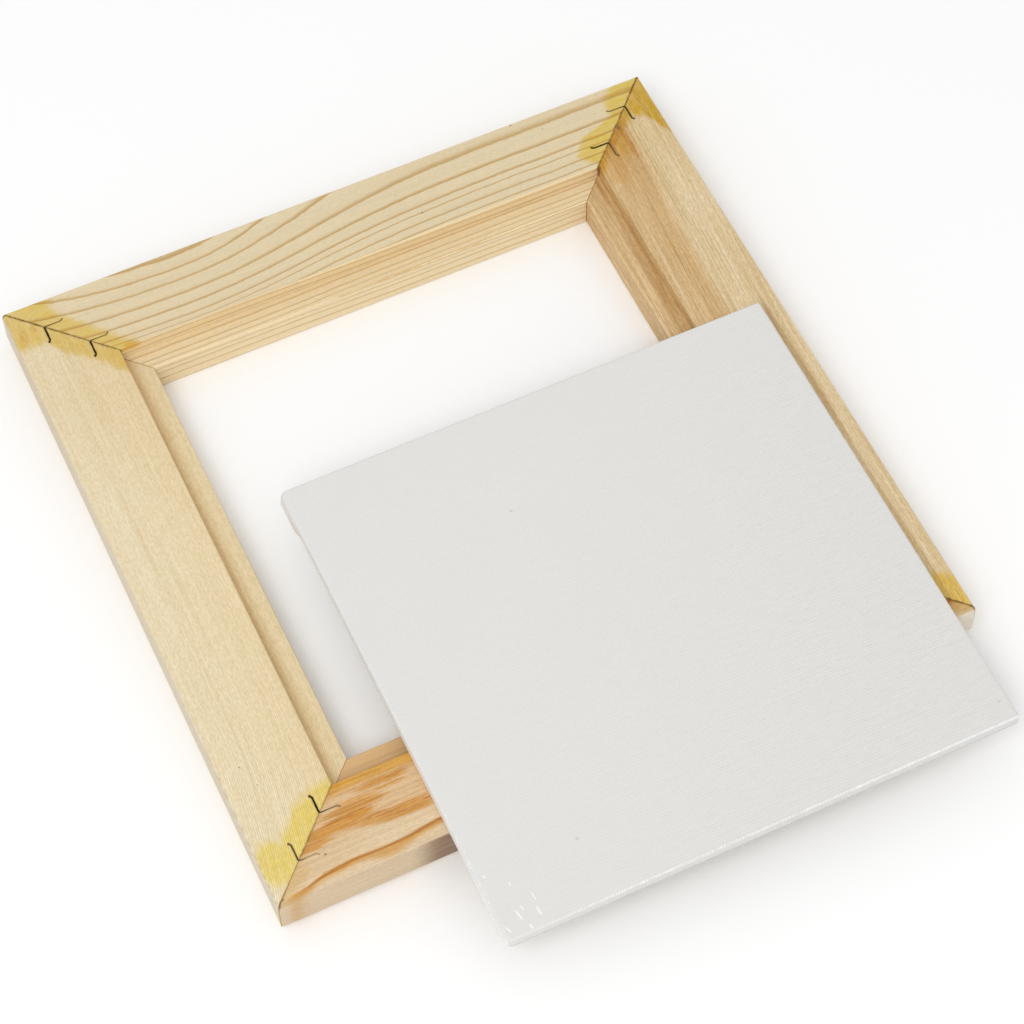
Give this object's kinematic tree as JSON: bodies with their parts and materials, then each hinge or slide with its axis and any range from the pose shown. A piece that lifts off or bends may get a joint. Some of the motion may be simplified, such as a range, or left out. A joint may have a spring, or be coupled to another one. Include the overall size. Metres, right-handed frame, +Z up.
{
  "type": "canvas panel with picture frame",
  "caption": "Square primed canvas panel, cloth wrapped round a thin board, lying loose on the back of a mitred pine picture frame with a rabbet.",
  "frame": {"origin": "below the middle of the whole set, on the surface that the frame's front face lies on", "axes": "+X along the bottom rail towards the right rail, +Y from the bottom rail to the top rail, +Z up, out of the frame's back face"},
  "size_m": [0.2, 0.2346, 0.018],
  "materials": {
    "pine": "satin",
    "glue": "satin",
    "nail_steel": "satin",
    "fibreboard": "matte",
    "primed_cotton": "matte",
    "liner_paper": "matte"
  },
  "bodies": {
    "frame": {"frame_rail_top": "pine", "frame_rail_right": "pine", "frame_rail_bottom": "pine", "frame_rail_left": "pine", "mitre_glue_top_left": "glue", "mitre_glue_top_right": "glue", "mitre_glue_bottom_left": "glue", "mitre_glue_bottom_right": "glue", "v_nail_top_left_outer": "nail_steel", "v_nail_top_left_inner": "nail_steel", "v_nail_top_right_outer": "nail_steel", "v_nail_top_right_inner": "nail_steel", "v_nail_bottom_left_outer": "nail_steel", "v_nail_bottom_left_inner": "nail_steel", "v_nail_bottom_right_outer": "nail_steel", "v_nail_bottom_right_inner": "nail_steel"},
    "canvas": {"panel_board": "fibreboard", "canvas_cloth": "primed_cotton", "back_liner": "liner_paper"}
  },
  "joints": [
    {"name": "canvas_lift", "type": "slide", "parent": "frame", "child": "canvas", "axis": [0, 0, 1], "range_m": [0, 0.06]}
  ]
}
